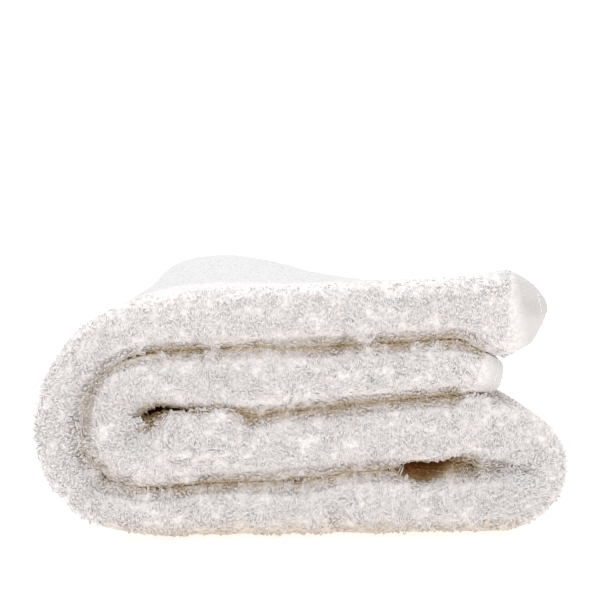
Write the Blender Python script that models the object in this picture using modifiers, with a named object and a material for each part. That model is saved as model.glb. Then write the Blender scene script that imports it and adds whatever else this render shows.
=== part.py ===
"""A plush terry bath towel, folded in four along its length and wound flat, as one solid at real size.

The cloth is 700 mm by 1400 mm. Two lengthwise folds make a strip of four plies, 175 mm deep, with the
plump outer fold at the front. The strip is then wound: from its outer end at the upper right it runs
left over the top, round the outer fold, right along the floor, round the right fold, left again, and
round the inner fold to its inner end between the other runs. Metres, +Z up, +X to the right and +Y
away from the side that shows the winding. The origin is the middle of the underside.
"""

import math
from collections import namedtuple

import bmesh
import bpy
import numpy as np
from mathutils import Matrix

MM = 0.001

# The width of the cloth, and the strip of plies that the two lengthwise folds make of it.
CLOTH_WIDTH = 700 * MM
PLIES = 4
STRIP_DEPTH = CLOTH_WIDTH / PLIES

# The strip's plump front fold: how deep its bulge is, and how squarely it turns (2 is an ellipse).
FRONT_BULGE = 20 * MM
FRONT_SQUARENESS = 2.5

# The strip's back edge: how deep the clefts between its plies are, and how round the plies end.
CLEFT_DEPTH = 14 * MM
BACK_ROUNDING = 8 * MM

# The winding lies a little askew: its front goes back towards the right by this share of X.
SKEW = 0.05

# A station is a place on the strip's middle line: its X and height Z, and half the strip's thickness
# there, all in millimetres. The strip is thick where the terry is loose and thin where it is pressed.
Station = namedtuple("Station", "x z half")

TOP_RUN = [
    Station(170, 165, 9),
    Station(163, 163, 19),
    Station(153, 161, 28),
    Station(140, 158, 32.5),
    Station(124, 162.5, 26),
    Station(104, 164, 22),
    Station(42, 160, 22),
    Station(0, 158, 21.5),
    Station(-82, 155.5, 20.5),
    Station(-106, 153, 19.5),
]
OUTER_FOLD = [
    Station(-128, 147, 18.5),
    Station(-150, 133, 17.5),
    Station(-166.5, 110, 16.5),
    Station(-173.5, 78, 16),
    Station(-169, 50, 16),
    Station(-152.5, 30, 15.5),
    Station(-127, 19, 17),
]
BOTTOM_RUN = [
    Station(-104, 17.5, 17.5),
    Station(-70, 18.5, 18.5),
    Station(0, 19, 19),
    Station(32, 22, 22),
    Station(56, 22, 22),
    Station(78, 18.5, 18.5),
    Station(99, 19, 19),
    Station(138, 17, 17),
]
RIGHT_FOLD = [
    Station(160, 25.5, 17),
    Station(172.5, 42, 18),
    Station(168, 62, 20),
    Station(151, 75, 22),
]
THIRD_RUN = [
    Station(131, 78, 21),
    Station(106, 77, 21),
    Station(70, 74, 21.5),
    Station(0, 67, 21.5),
    Station(-67, 61, 19),
    Station(-96, 57, 17),
]
INNER_FOLD = [
    Station(-119, 58, 16.5),
    Station(-132, 70, 16.5),
    Station(-134.5, 88.5, 17),
    Station(-127, 105, 17),
]
SECOND_RUN = [
    Station(-108, 112.5, 16.5),
    Station(-88, 111, 20),
    Station(-65, 108.5, 24),
    Station(-42, 110.5, 22.5),
    Station(0, 112.5, 20.5),
    Station(70, 118, 18.5),
    Station(106, 119.5, 17.5),
    Station(124, 116.5, 14.5),
    Station(136, 113.5, 11),
    Station(141.5, 113, 7),
]
PATH = TOP_RUN + OUTER_FOLD + BOTTOM_RUN + RIGHT_FOLD + THIRD_RUN + INNER_FOLD + SECOND_RUN

# The stack isn't level from front to back. A lean says how much higher its top is at the back edge
# than at the front, at one X, in millimetres: a hump left of the middle and a fall to the right.
Lean = namedtuple("Lean", "x lift")
LEANS = [
    Lean(-175, -9),
    Lean(-124, -9),
    Lean(-106, 1),
    Lean(-96, 8),
    Lean(-78, 14),
    Lean(-57, 16),
    Lean(-38, 13),
    Lean(-12, 3),
    Lean(8, -3),
    Lean(32, -9),
    Lean(58, -14),
    Lean(110, -17),
    Lean(175, -17),
]
STACK_HEIGHT = 180 * MM
LEAN_POWER = 1.5

# The outer fold is also pressed in at its back, more and more between these two places.
PRESSED_FROM = -90 * MM
PRESSED_FULLY = -180 * MM
PRESSED_IN = 9 * MM

# The coarse cage: the longest step between two rings, and the points round the front fold.
LONGEST_STEP = 34 * MM
FRONT_POINTS = 6
FLAT_POINTS = 2

# A point of the underside this close to the floor lies flat on it.
FLAT_SPOT = 0.8 * MM

CLOTH_COLOUR = (0.86, 0.84, 0.83, 1.0)
CLOTH_ROUGHNESS = 0.95

# A slice of the strip: its place in the XZ plane, its direction and half of its thickness.
Slice = namedtuple("Slice", "place along half")


def clear_scene():
    for obj in list(bpy.data.objects):
        bpy.data.objects.remove(obj, do_unlink=True)


def curve_through(rows, knots, at):
    """The smooth curve through rows of values, one row for each knot, read at one place along it."""
    last = len(knots) - 1
    i = min(int(np.searchsorted(knots, at, side="right")) - 1, last - 1)
    before, after = max(i - 1, 0), min(i + 2, last)
    width = knots[i + 1] - knots[i]
    slope_here = (rows[i + 1] - rows[before]) / (knots[i + 1] - knots[before])
    slope_next = (rows[after] - rows[i]) / (knots[after] - knots[i])
    t = (at - knots[i]) / width
    return (
        (2 * t**3 - 3 * t**2 + 1) * rows[i]
        + (t**3 - 2 * t**2 + t) * width * slope_here
        + (3 * t**2 - 2 * t**3) * rows[i + 1]
        + (t**3 - t**2) * width * slope_next
    )


def slices_of(path):
    """Slices at every station of the path, and between two stations that are far apart."""
    rows = np.array(path, float) * MM
    spans = np.hypot(*np.diff(rows[:, :2], axis=0).T)
    knots = np.concatenate([[0.0], np.cumsum(spans)])
    places = [knots[0]]
    for start, span in zip(knots, spans):
        parts = math.ceil(span / LONGEST_STEP)
        places += [start + span * part / parts for part in range(1, parts + 1)]
    slices = []
    for at in places:
        x, z, half = curve_through(rows, knots, at)
        ahead = curve_through(rows, knots, min(at + MM, knots[-1]))
        behind = curve_through(rows, knots, max(at - MM, 0.0))
        along = ahead[:2] - behind[:2]
        slices.append(Slice(np.array([x, z]), along / np.linalg.norm(along), half))
    return slices


def front_fold():
    """Points round the front fold, from the upper side to the underside."""
    power = 2 / FRONT_SQUARENESS
    points = []
    for i in range(FRONT_POINTS):
        angle = math.pi * (0.5 - i / (FRONT_POINTS - 1))
        rise, reach = math.sin(angle), abs(math.cos(angle))
        points.append((FRONT_BULGE * (1 - reach**power), math.copysign(abs(rise) ** power, rise)))
    return points


def back_edge():
    """Points over the back edge, upwards: the fold of the two lower plies, then two selvedges."""
    points = [(STRIP_DEPTH - BACK_ROUNDING, -1.0)]
    for low, high in ((-1.0, 0.0), (0.0, 0.5), (0.5, 1.0)):
        quarter = (high - low) / 4
        points += [(STRIP_DEPTH, low + quarter), (STRIP_DEPTH, high - quarter)]
        points.append((STRIP_DEPTH - (BACK_ROUNDING if high == 1.0 else CLEFT_DEPTH), high))
    return points


def section():
    """The strip's cross-section as (y, n): y from the front edge, n from -1 below to 1 above."""
    start, end = FRONT_BULGE, STRIP_DEPTH - BACK_ROUNDING
    flat = [start + (end - start) * i / (FLAT_POINTS + 1) for i in range(1, FLAT_POINTS + 1)]
    return front_fold() + [(y, -1.0) for y in flat] + back_edge() + [(y, 1.0) for y in reversed(flat)]


def lean_at(x):
    return float(np.interp(x, [lean.x * MM for lean in LEANS], [lean.lift * MM for lean in LEANS]))


def place_point(piece, y, n):
    """The point of one slice at depth y, and n across the plies, with the stack's lean and skew."""
    outward = np.array([piece.along[1], -piece.along[0]])
    x, z = piece.place + outward * n * piece.half
    towards_back = (y / STRIP_DEPTH) ** LEAN_POWER
    z += lean_at(x) * towards_back * max(z, 0.0) / STACK_HEIGHT
    pressed = min(1.0, max(0.0, (PRESSED_FROM - x) / (PRESSED_FROM - PRESSED_FULLY)))
    back = y - STRIP_DEPTH / 2 + SKEW * x
    return x + PRESSED_IN * pressed * towards_back, back, z if z > FLAT_SPOT else 0.0


def cage_mesh(name):
    """The closed cage of the strip: one ring of points for each slice, joined by quads."""
    outline = section()
    body = bmesh.new()
    rings = []
    for piece in slices_of(PATH):
        rings.append([body.verts.new(place_point(piece, y, n)) for y, n in outline])
    around = len(outline)
    for near, far in zip(rings, rings[1:]):
        for i in range(around):
            j = (i + 1) % around
            body.faces.new((near[i], near[j], far[j], far[i]))
    body.faces.new(rings[0])
    body.faces.new(rings[-1])
    bmesh.ops.recalc_face_normals(body, faces=body.faces[:])
    mesh = bpy.data.meshes.new(name)
    body.to_mesh(mesh)
    body.free()
    mesh.shade_smooth()
    return mesh


def stand_on_origin(obj):
    """Moves the mesh so that the middle of the smoothed object's underside is the origin."""
    bpy.context.view_layer.update()
    smoothed = obj.evaluated_get(bpy.context.evaluated_depsgraph_get())
    corners = np.array([list(corner) for corner in smoothed.bound_box])
    low, high = corners.min(axis=0), corners.max(axis=0)
    obj.data.transform(Matrix.Translation((-(low[0] + high[0]) / 2, -(low[1] + high[1]) / 2, -low[2])))


def terry_material():
    material = bpy.data.materials.new("white_terry")
    material.use_nodes = True
    shader = material.node_tree.nodes["Principled BSDF"]
    shader.inputs["Base Color"].default_value = CLOTH_COLOUR
    shader.inputs["Roughness"].default_value = CLOTH_ROUGHNESS
    shader.inputs["Metallic"].default_value = 0.0
    return material


def build():
    clear_scene()
    collection = bpy.data.collections.new("wound_bath_towel")
    bpy.context.scene.collection.children.link(collection)
    towel = bpy.data.objects.new("towel", cage_mesh("towel"))
    towel.data.materials.append(terry_material())
    collection.objects.link(towel)
    smooth = towel.modifiers.new("soft_terry", "SUBSURF")
    smooth.levels = 1
    smooth.render_levels = 1
    stand_on_origin(towel)


build()
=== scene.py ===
# %% [markdown]
# # A plush bath towel, folded in four and wound flat
# Terry looks soft because its surface isn't a surface: it is thousands of small loops of yarn standing
# on a woven ground. This lesson builds both. First comes the cloth, 70 by 140 cm, folded and wound as
# the photograph shows it, then the hems, then the loops, row by row as a loom makes them. The plain
# solid from the CAD step stays the measure of every size.

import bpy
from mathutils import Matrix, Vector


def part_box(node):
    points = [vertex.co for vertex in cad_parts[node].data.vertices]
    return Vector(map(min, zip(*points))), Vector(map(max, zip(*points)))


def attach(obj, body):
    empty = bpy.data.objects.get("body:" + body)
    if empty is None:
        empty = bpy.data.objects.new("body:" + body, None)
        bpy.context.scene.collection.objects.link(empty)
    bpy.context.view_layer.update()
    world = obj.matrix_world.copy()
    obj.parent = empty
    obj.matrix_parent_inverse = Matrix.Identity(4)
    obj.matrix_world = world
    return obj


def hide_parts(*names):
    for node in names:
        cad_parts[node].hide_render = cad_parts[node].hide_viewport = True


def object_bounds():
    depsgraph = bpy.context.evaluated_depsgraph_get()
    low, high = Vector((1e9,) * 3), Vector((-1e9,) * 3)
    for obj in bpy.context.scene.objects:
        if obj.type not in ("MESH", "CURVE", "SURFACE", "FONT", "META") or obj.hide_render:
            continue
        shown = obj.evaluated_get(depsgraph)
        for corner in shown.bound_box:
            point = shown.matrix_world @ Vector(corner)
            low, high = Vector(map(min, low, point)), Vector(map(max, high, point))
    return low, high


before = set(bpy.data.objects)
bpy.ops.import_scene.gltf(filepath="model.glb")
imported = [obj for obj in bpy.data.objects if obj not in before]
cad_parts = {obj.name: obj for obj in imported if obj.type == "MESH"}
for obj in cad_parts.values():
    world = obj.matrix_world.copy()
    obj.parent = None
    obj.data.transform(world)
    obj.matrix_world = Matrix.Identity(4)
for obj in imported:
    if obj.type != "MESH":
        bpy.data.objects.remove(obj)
cad_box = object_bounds()
print("CAD box in metres:", [tuple(round(v, 4) for v in corner) for corner in cad_box])

# %% The modules and the unit of this lesson
import math
from collections import namedtuple

import bpy
import numpy as np
from mathutils import Vector, noise
from mathutils.bvhtree import BVHTree

MM = 0.001
scene = bpy.context.scene
# %% [markdown]
# ## The camera
# The photograph was taken from straight in front and a little above, far enough away that the back of
# the towel is hardly smaller than its front. A camera is placed by three facts: how far away it
# stands, how high it looks from, and how many pixels a metre takes at one metre. The last one gives the
# focal length, because a sensor 36 mm wide holds the whole picture.

# %% Place the camera
PICTURE_PIXELS = 600
SENSOR_MM = 36
PIXELS_PER_METRE_AT_ONE_METRE = 1472
CAMERA_DISTANCE = 1.0
CAMERA_ELEVATION = math.radians(5)
AIM = Vector((-0.003, cad_box[0].y + 0.004, 0.169))

camera_data = bpy.data.cameras.new("camera")
camera_data.sensor_width = SENSOR_MM
camera_data.lens = PIXELS_PER_METRE_AT_ONE_METRE * SENSOR_MM / PICTURE_PIXELS
camera = bpy.data.objects.new("camera", camera_data)
scene.collection.objects.link(camera)
backwards = Vector((0, -math.cos(CAMERA_ELEVATION), math.sin(CAMERA_ELEVATION)))
camera.location = AIM + backwards * CAMERA_DISTANCE
camera.rotation_euler = (-backwards).to_track_quat("-Z", "Y").to_euler()
scene.camera = camera
print("Focal length:", round(camera_data.lens, 1), "mm")

# %% [markdown]
# ## Light and floor
# White cotton on white needs soft light from nearly everywhere, with a little more from above, so that
# the tops are brighter than the faces and every gap goes dark by itself. A bright world does most of
# it, and two large area lights add the direction. The floor's faintly peach glow keeps the underside
# from going dark. The Standard view transform keeps white at white.

# %% Light the scene and lay the floor
WORLD_STRENGTH = 1.04
FLOOR_SIZE = 12.0
FLOOR_COLOUR = (0.6, 0.6, 0.6, 1.0)
FLOOR_ROUGHNESS = 0.8
FLOOR_GLOW = 0.66
GLOW_COLOUR = (1.0, 0.955, 0.92, 1.0)
AreaLight = namedtuple("AreaLight", "name place aim size power colour")
AREA_LIGHTS = [
    AreaLight("overhead", (-0.1, 0.3, 1.5), (0, 0, 0), 1.3, 6.6, (0.945, 0.97, 1.0)),
    AreaLight("high_in_front", (-0.1, -0.9, 1.35), (0, 0, 0.1), 1.0, 4.4, (0.97, 0.98, 1.0)),
]


def set_inputs(owner, node, inputs):
    """Gives each named input of a node a value, or links it to a socket."""
    for key, value in inputs.items():
        if isinstance(value, bpy.types.NodeSocket):
            owner.node_tree.links.new(value, node.inputs[key])
        else:
            node.inputs[key].default_value = value


scene.view_settings.view_transform = "Standard"
world = bpy.data.worlds.new("white_studio")
world.use_nodes = True
background = world.node_tree.nodes["Background"]
set_inputs(world, background, {"Color": (1, 1, 1, 1), "Strength": WORLD_STRENGTH})
scene.world = world
for row in AREA_LIGHTS:
    light = bpy.data.lights.new(row.name, "AREA")
    light.size, light.energy, light.color = row.size, row.power, row.colour
    lamp = bpy.data.objects.new(row.name, light)
    lamp.location = row.place
    lamp.rotation_euler = (Vector(row.aim) - Vector(row.place)).to_track_quat("-Z", "Y").to_euler()
    scene.collection.objects.link(lamp)

bpy.ops.mesh.primitive_plane_add(size=FLOOR_SIZE)
floor = bpy.context.active_object
floor.name = "pale_floor"
floor_finish = bpy.data.materials.new("pale_floor")
floor_finish.use_nodes = True
set_inputs(floor_finish, floor_finish.node_tree.nodes["Principled BSDF"], {
    "Base Color": FLOOR_COLOUR,
    "Roughness": FLOOR_ROUGHNESS,
    "Emission Color": GLOW_COLOUR,
    "Emission Strength": FLOOR_GLOW,
})
floor.data.materials.append(floor_finish)
print("Lights:", [row.name for row in AREA_LIGHTS])

# %% [markdown]
# ## The winding's path
# Folded lengthwise twice, the towel is a strip four plies thick and 175 mm deep. Seen from the front
# the strip follows one long curve: over the top to the left, round the outer fold, right along the
# floor, round the right fold, back to the left, and round the inner fold to its end. The curve is
# drawn through a few stations, and each says how thick the strip is there. Most are the stations of
# the CAD solid. A few, at the outer end and in the two outer folds, are moved by some millimetres, so
# that the outline follows the photograph more closely.

# %% The stations, in millimetres: their place and half the strip's thickness
CLOTH_WIDTH = 700 * MM
STRIP_DEPTH = CLOTH_WIDTH / 4
Station = namedtuple("Station", "x z half")


def table(kind, rows):
    """Rows of numbers, each under the names of its kind."""
    return [kind(*row) for row in rows]


TOP_RUN = table(Station, [
    (167.5, 164.2, 8), (165, 163.8, 13.5), (161.5, 163, 18.5), (157, 162, 24), (150, 160.7, 30),
    (140, 158, 32.5), (124, 162.5, 26), (104, 164, 22), (42, 160, 22), (0, 158, 21.5),
    (-82, 155.5, 20.5), (-106, 153, 19.5),
])
OUTER_FOLD = table(Station, [
    (-128, 147, 18.5), (-150, 133, 17.5), (-165, 110, 16.5), (-173, 78, 16), (-167, 50, 16),
    (-153, 29, 15.5), (-127, 19, 17),
])
BOTTOM_RUN = table(Station, [
    (-104, 17.5, 17.5), (-70, 18.5, 18.5), (0, 19, 19), (32, 22, 22), (56, 22, 22), (78, 18.5, 18.5),
    (99, 19, 19), (138, 17, 17),
])
RIGHT_FOLD = table(Station, [
    (160, 25.5, 17), (171, 42, 17.5), (165.5, 62, 18.7), (147.5, 74.5, 19.5),
])
THIRD_RUN = table(Station, [
    (131, 78, 21), (106, 77, 21), (70, 74, 21.5), (0, 67, 21.5), (-67, 61, 19), (-96, 57, 17),
])
INNER_FOLD = table(Station, [
    (-119, 58, 16.5), (-132, 70, 16.5), (-134.5, 88.5, 17), (-127, 105, 17),
])
SECOND_RUN = table(Station, [
    (-108, 112.5, 16.5), (-88, 111, 20), (-65, 108.5, 24), (-42, 110.5, 22.5), (0, 112.5, 20.5),
    (70, 118, 18.5), (106, 119.5, 17.5), (124, 116.5, 14.5), (132, 114.5, 13.5), (137, 113.5, 12),
])
RUNS = {
    "top_run": TOP_RUN, "outer_fold": OUTER_FOLD, "bottom_run": BOTTOM_RUN, "right_fold": RIGHT_FOLD,
    "third_run": THIRD_RUN, "inner_fold": INNER_FOLD, "second_run": SECOND_RUN,
}
print("Stations:", sum(len(run) for run in RUNS.values()))

# %% [markdown]
# A curve that passes through its points and turns smoothly at each one is a Catmull-Rom spline. Numpy
# reads it at many places at once, so no loop has to visit every vertex.

# %% Read a smooth curve at many places
def read_curve(rows, knots, at):
    """Values on the smooth curve through the rows, one row for each knot, at every place in at."""
    last = len(knots) - 1
    i = np.clip(np.searchsorted(knots, at, side="right") - 1, 0, last - 1)
    before, after = np.maximum(i - 1, 0), np.minimum(i + 2, last)
    width = (knots[i + 1] - knots[i])[:, None]
    slope_here = (rows[i + 1] - rows[before]) / (knots[i + 1] - knots[before])[:, None]
    slope_next = (rows[after] - rows[i]) / (knots[after] - knots[i])[:, None]
    t = (at - knots[i])[:, None] / width
    return (
        (2 * t**3 - 3 * t**2 + 1) * rows[i]
        + (t**3 - 2 * t**2 + t) * width * slope_here
        + (3 * t**2 - 2 * t**3) * rows[i + 1]
        + (t**3 - t**2) * width * slope_next
    )


def ramp(values, start, end):
    """A soft step from 0 at start to 1 at end."""
    t = np.clip((values - start) / (end - start), 0, 1)
    return t * t * (3 - 2 * t)


path_rows = np.array([station for run in RUNS.values() for station in run], float) * MM
path_knots = np.concatenate([[0], np.cumsum(np.hypot(*np.diff(path_rows[:, :2], axis=0).T))])
PATH_LENGTH = path_knots[-1]
run_ends = np.cumsum([len(run) for run in RUNS.values()]) - 1
RUN_ENDS = dict(zip(RUNS, path_knots[run_ends]))

# %% [markdown]
# ## The rings across the strip
# The cloth is a grid: rings along the path, and points across each ring. Near the two cut ends the
# rings stand close together, so that the hem's edge can be rounded. The strip's direction is read over
# a longer stretch than one ring, or its thick outer end would fold over itself.

# %% Choose the rings
RING_STEP = 5 * MM
DIRECTION_REACH = 12 * MM
END_RINGS = np.array([0, 0.7, 2, 4, 7, 10.5]) * MM
body_rings = np.linspace(END_RINGS[-1], PATH_LENGTH - END_RINGS[-1], int(PATH_LENGTH / RING_STEP))
rings_at = np.concatenate([END_RINGS[:-1], body_rings, (PATH_LENGTH - END_RINGS[:-1])[::-1]])


def unit(vectors):
    """The same directions, each one long."""
    return vectors / np.linalg.norm(vectors, axis=-1)[..., None]


def strip_at(at):
    """The strip's place, direction and half thickness at places along the path."""
    values = read_curve(path_rows, path_knots, at)
    ahead = read_curve(path_rows, path_knots, np.minimum(at + DIRECTION_REACH, PATH_LENGTH))
    behind = read_curve(path_rows, path_knots, np.maximum(at - DIRECTION_REACH, 0))
    return values[:, :2], unit(ahead[:, :2] - behind[:, :2]), values[:, 2:]


ring_places, ring_along, ring_half = strip_at(rings_at)
print("Rings:", len(rings_at))

# %% [markdown]
# ## Four plies from one width of cloth
# Across the strip the cloth goes back and forth: from a selvedge at the back it comes forward on top,
# rounds the plump front fold, returns below, folds at the back, comes forward again inside, and
# returns to the other selvedge. One line describes it, and the cloth's two faces lie either side of
# that line. Where the camera or the other views see the cloth, the points are close together.

# %% The line of the cloth across one strip
FRONT_BULGE = 20 * MM
FRONT_SQUARENESS = 2.5
TOP_POINTS = 32
FRONT_POINTS = 21
BACK_FOLD_POINTS = 9
INNER_FOLD_POINTS = 7
LOWER_SHARES = (0, 0.04, 0.08, 0.12, 0.16, 0.2, 0.26, 0.34, 0.44, 0.55, 0.66, 0.77, 0.86, 0.92, 0.96, 1)
INSIDE_SHARES = (0, 0.06, 0.15, 0.4, 0.7, 1)
SELVEDGE_SETBACK = (2 * MM, 5 * MM)


def spread(start, end, shares):
    """Points between two depths, a column of starts and ends against a row of shares."""
    return start + (end - start) * np.asarray(shares)[None, :]


def ply_line(half):
    """Depth y and height n of the line of the cloth, one row for each ring."""
    ply = half / 2
    level = np.ones_like(half)
    front = level * FRONT_BULGE
    upper_back, inner_back = (level * (STRIP_DEPTH - setback) for setback in SELVEDGE_SETBACK)
    back_centre = STRIP_DEPTH - ply
    inner_front = np.maximum(FRONT_BULGE, 2 * ply) + MM
    power = 2 / FRONT_SQUARENESS
    turn = np.linspace(math.pi / 2, -math.pi / 2, FRONT_POINTS)[None, 1:-1]
    back_turn = np.linspace(-math.pi / 2, math.pi / 2, BACK_FOLD_POINTS)[None, 1:-1]
    inner_turn = np.linspace(-math.pi / 2, math.pi / 2, INNER_FOLD_POINTS)[None, 1:-1]
    bulge = FRONT_BULGE - ply / 2
    rise = np.sign(np.sin(turn)) * abs(np.sin(turn)) ** power
    parts = [
        (spread(upper_back, front, np.linspace(0, 1, TOP_POINTS)), 1.5 * ply),
        (FRONT_BULGE - bulge * np.cos(turn) ** power, 1.5 * ply * rise),
        (spread(front, back_centre, LOWER_SHARES), -1.5 * ply),
        (back_centre + ply / 2 * np.cos(back_turn), ply * (np.sin(back_turn) / 2 - 1)),
        (spread(back_centre, inner_front, INSIDE_SHARES), -0.5 * ply),
        (inner_front - ply / 2 * np.cos(inner_turn), ply / 2 * np.sin(inner_turn)),
        (spread(inner_front, inner_back, INSIDE_SHARES), 0.5 * ply),
    ]
    y = np.concatenate([part[0] for part in parts], axis=1)
    n = np.concatenate([np.broadcast_to(part[1], part[0].shape) for part in parts], axis=1)
    counts = [part[0].shape[1] for part in parts]
    return y, n, counts


line_y, line_n, part_counts = ply_line(ring_half)
BACK_FOLD_END = sum(part_counts[:4])
print("Points across the cloth:", line_y.shape[1])

# %% [markdown]
# ## How the stack leans
# The strip isn't level from front to back. Its top swells at the back left of the middle and falls
# away to the right, the whole winding sits a little askew, and the outer fold is pressed in at the
# back. One function moves flat strip coordinates into place and applies these, and every later step
# uses it.

# %% Put points of the strip in their place
SKEW = 0.05
STACK_HEIGHT = 180 * MM
LEAN_POWER = 1.5
PRESSED_FROM = -90 * MM
PRESSED_FULLY = -180 * MM
PRESSED_IN = 9 * MM
Lean = namedtuple("Lean", "x lift")
LEANS = table(Lean, [
    (-175, -9), (-130, -9), (-123, -2), (-115, 6.5), (-107, 12), (-90, 16), (-75, 17.8), (-58, 18.7),
    (-42, 16.5), (-26, 12), (2, 1), (30, -6.5), (58, -13), (110, -17), (175, -17),
])


def put_in_place(places, along, y, n):
    """World points of the strip at depths y and heights n, for rings at the given places."""
    x = places[:, :1] + along[:, 1:] * n
    z = places[:, 1:] - along[:, :1] * n
    towards_back = (np.clip(y, 0, None) / STRIP_DEPTH) ** LEAN_POWER
    lean = np.interp(x, [row.x * MM for row in LEANS], [row.lift * MM for row in LEANS])
    z = z + lean * towards_back * np.clip(z, 0, None) / STACK_HEIGHT
    pressed = np.clip((PRESSED_FROM - x) / (PRESSED_FROM - PRESSED_FULLY), 0, 1)
    return np.stack([x + PRESSED_IN * pressed * towards_back, y - STRIP_DEPTH / 2 + SKEW * x, z], axis=-1)


rim = np.concatenate([
    put_in_place(ring_places, ring_along, np.full_like(ring_half, y), ring_half * n)
    for y in (0.0, STRIP_DEPTH) for n in (-1.0, 1.0)
]).reshape(-1, 3)
rim_middle = (rim.min(axis=0) + rim.max(axis=0)) / 2
towel_low, towel_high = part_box("towel")
TO_FRAME = np.array([(towel_low.x + towel_high.x) / 2, (towel_low.y + towel_high.y) / 2, 0]) - rim_middle
TO_FRAME[2] = 0
print("Shift onto the solid, in millimetres:", (TO_FRAME * 1000).round(2))

# %% [markdown]
# ## Hems, pile and soft edges
# A terry ply is thick because of its pile. The woven ground is thinner, so the ground's outer face
# lies one pile height inside the solid, and the loops will fill that space. Along both cut ends a
# band has no loops: the hem, turned and stitched, where the ground itself is the surface. At the outer
# end more of it shows on the front fold than on top, because the plies lie askew. The cloth thins to a
# rounded edge all round.

# %% The thickness of the ground
PILE = 3.0 * MM
OUTER_HEM = 20 * MM
OUTER_HEM_ON_TOP = 13 * MM
INNER_HEM = 10 * MM
ASKEW_DEPTHS = (10 * MM, 26 * MM)
HEM_FADE = 9 * MM
HEM_INSET = 1.8 * MM
PLY_GAP = 0.7 * MM
THINNEST = 0.6 * MM
EDGE_ROUND = 3.5 * MM
THINNEST_EDGE = 0.03


def hem_width(at, y):
    """How wide the band without loops is, at places along the path and depths behind the front."""
    outer_hem = OUTER_HEM + (OUTER_HEM_ON_TOP - OUTER_HEM) * ramp(y, *ASKEW_DEPTHS)
    return np.where(at < PATH_LENGTH / 2, outer_hem, INNER_HEM)


grid_at = np.broadcast_to(rings_at[:, None], line_y.shape)
from_end = np.minimum(rings_at, PATH_LENGTH - rings_at)[:, None]
in_hem = 1 - ramp(from_end - hem_width(grid_at, line_y), -HEM_FADE / 2, HEM_FADE / 2)
ply_half = ring_half / 4
out_reach = np.maximum(ply_half - PILE * (1 - in_hem) - HEM_INSET * in_hem, THINNEST)
in_reach = np.maximum(ply_half - PLY_GAP * (1 + in_hem), THINNEST)


def rounded_edge(distance):
    """The share of the full thickness this far inside an edge, as on a half circle."""
    t = np.clip(distance / EDGE_ROUND, THINNEST_EDGE, 1)
    return np.sqrt(1 - (1 - t) ** 2)


across = np.hypot(np.diff(line_y, axis=1), np.diff(line_n, axis=1))
across = np.concatenate([np.zeros((len(across), 1)), np.cumsum(across, axis=1)], axis=1)
from_selvedge = np.minimum(across, across[:, -1:] - across)
edge = rounded_edge(from_end) * rounded_edge(from_selvedge)
print("Cloth across the strip:", round(float(np.median(across[:, -1])) * 1000), "mm")

# %% [markdown]
# ## Creases and lumps
# Cloth that has been folded by hand is never even. Broad, shallow lumps come from noise, and the
# creases that the photograph shows are listed one by one, each with its own length, width and depth. A
# negative depth is a ridge. They only mark the front of the strip, where folding bent it.

# %% Creases on the front, listed in millimetres
Crease = namedtuple("Crease", "x z length tilt width depth")
CREASES = table(Crease, [
    (119, 152, 13, -20, 3.5, 2.4), (163, 162, 5, 0, 4, 2.2), (120, 58, 7, 35, 5, 3.5),
    (82, 55, 20, 5, 6, -2.6), (95, 56, 14, 0, 6, -3.0), (84, 37, 24, 0, 7, -5.0),
    (100, 140, 16, 8, 4, 1.5), (-95, 107, 30, -2, 5, -1.6), (-104, 89, 10, -34, 5, -5.0),
    (-63, 134, 8, 0, 6, 3.0), (-2, 40, 11, 0, 7, 4.0), (22, 22, 5, 60, 6, 1.8),
    (48, 14, 24, -8, 5, 1.6), (74, 22, 5, -60, 6, 1.8), (60, 33, 22, 0, 6, -1.8),
    (-168, 28, 6, 45, 5, 2.6), (-150, 92, 20, 75, 5, 1.4), (-30, 166, 40, 3, 5, 1.2),
    (30, 76, 30, -6, 6, 1.4), (-20, 88, 20, -8, 5, -1.3), (140, 58, 10, 40, 5, 1.8),
    (60, 124, 24, 6, 5, -1.3), (-100, 30, 30, 4, 6, 1.3), (120, 92, 18, -10, 6, -1.4),
])
CREASE_REACH = (25 * MM, 60 * MM)
Lump = namedtuple("Lump", "size height")
LUMPS = [Lump(60, 1.5), Lump(26, 0.9), Lump(11, 0.45)]


def hand_creases(points, depth_from_front):
    """How far each point sinks into the creases."""
    sink = np.zeros(points.shape[:-1])
    fade = 1 - ramp(depth_from_front, *CREASE_REACH)
    for crease in CREASES:
        tilt = math.radians(crease.tilt)
        dx, dz = points[..., 0] - crease.x * MM, points[..., 2] - crease.z * MM
        lengthwise = (dx * math.cos(tilt) + dz * math.sin(tilt)) / (crease.length * MM)
        crosswise = (dz * math.cos(tilt) - dx * math.sin(tilt)) / (crease.width * MM)
        sink += crease.depth * MM * np.exp(-(lengthwise**2) - crosswise**2)
    return sink * fade


def lumps_at(points):
    """Uneven softness, as noise of a few sizes."""
    flat = points.reshape(-1, 3)
    rise = np.zeros(len(flat))
    for lump in LUMPS:
        scaled = flat / (lump.size * MM)
        rise += lump.height * MM * np.array([noise.noise(Vector(p)) for p in scaled])
    return rise.reshape(points.shape[:-1])


# %% [markdown]
# ## The two faces of the cloth
# The line's own sideways direction says where the outer face and the inner face go. After the faces
# are in place, the outer one gets its lumps and creases, and neither may sink into the floor.

# %% Build both faces
HEM_SMOOTH = 12 * MM
OUTER_LOWEST = 0.5 * MM
INNER_LOWEST = 1.0 * MM
slope_y, slope_n = np.gradient(line_y, axis=1), np.gradient(line_n, axis=1)
size = np.hypot(slope_y, slope_n)
side_y, side_n = slope_n / size, -slope_y / size


def face(reach):
    """One face of the cloth, this far to the side of its line, in the frame."""
    y, n = line_y + side_y * reach * edge, line_n + side_n * reach * edge
    return put_in_place(ring_places, ring_along, y, n) + TO_FRAME


outer, inner = face(out_reach), face(-in_reach)


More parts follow.
